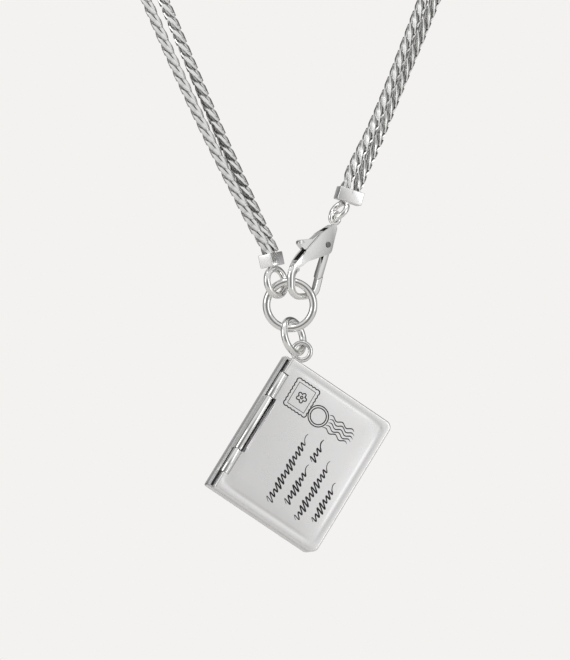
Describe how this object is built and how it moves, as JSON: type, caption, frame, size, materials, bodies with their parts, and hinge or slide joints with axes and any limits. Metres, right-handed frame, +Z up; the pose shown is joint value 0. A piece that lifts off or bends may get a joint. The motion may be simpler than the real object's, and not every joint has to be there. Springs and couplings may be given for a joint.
{
  "type": "necklace with hinged envelope locket",
  "caption": "Necklace of side-by-side woven square chains with end caps, a lobster clasp, wire rings and a hinged envelope-shaped locket that hangs by its corner.",
  "frame": {"origin": "the nape, at the middle of the double chain where it hangs over the back of the neck", "axes": "+Z up, +X to the viewer's right, the front of the locket faces -Y"},
  "size_m": [0.1299, 0.1265, 0.238],
  "materials": {
    "chain_silver": "polished woven silver wire",
    "polished_silver": "polished silver",
    "satin_silver": "satin silver with polished edges",
    "black_fill": "blackened engraving"
  },
  "bodies": {
    "chain": {"outer_strand": "chain_silver", "inner_strand": "chain_silver", "left_end_cap": "polished_silver", "right_end_cap": "polished_silver", "large_ring": "polished_silver", "clasp_body": "polished_silver", "clasp_pin": "polished_silver"},
    "lever": {"clasp_lever": "polished_silver"},
    "link": {"link_ring": "polished_silver"},
    "pendant": {"front_cover": "satin_silver", "hinge_pin": "polished_silver"},
    "lid": {"back_cover": "satin_silver"}
  },
  "joints": [
    {"name": "lever_hinge", "type": "hinge", "parent": "chain", "child": "lever", "pos_m": [0.00598, -0.11439, -0.1826], "axis": [-0.6428, 0.766, 0], "range_deg": [0, 22], "stiffness_Nm_per_rad": 0.0001, "springref_deg": -34.38},
    {"name": "link_swing", "type": "hinge", "parent": "chain", "child": "link", "pos_m": [0.0003, -0.118, -0.19704], "axis": [1, 0, 0], "range_deg": [-45, 45]},
    {"name": "pendant_swing", "type": "hinge", "parent": "link", "child": "pendant", "pos_m": [0.00135, -0.11829, -0.20105], "axis": [0.2588, 0.9659, 0], "range_deg": [-30, 25]},
    {"name": "lid_hinge", "type": "hinge", "parent": "pendant", "child": "lid", "pos_m": [-0.00625, -0.12125, -0.21323], "axis": [0.5096, 0.213, 0.8336], "range_deg": [0, 80]}
  ]
}
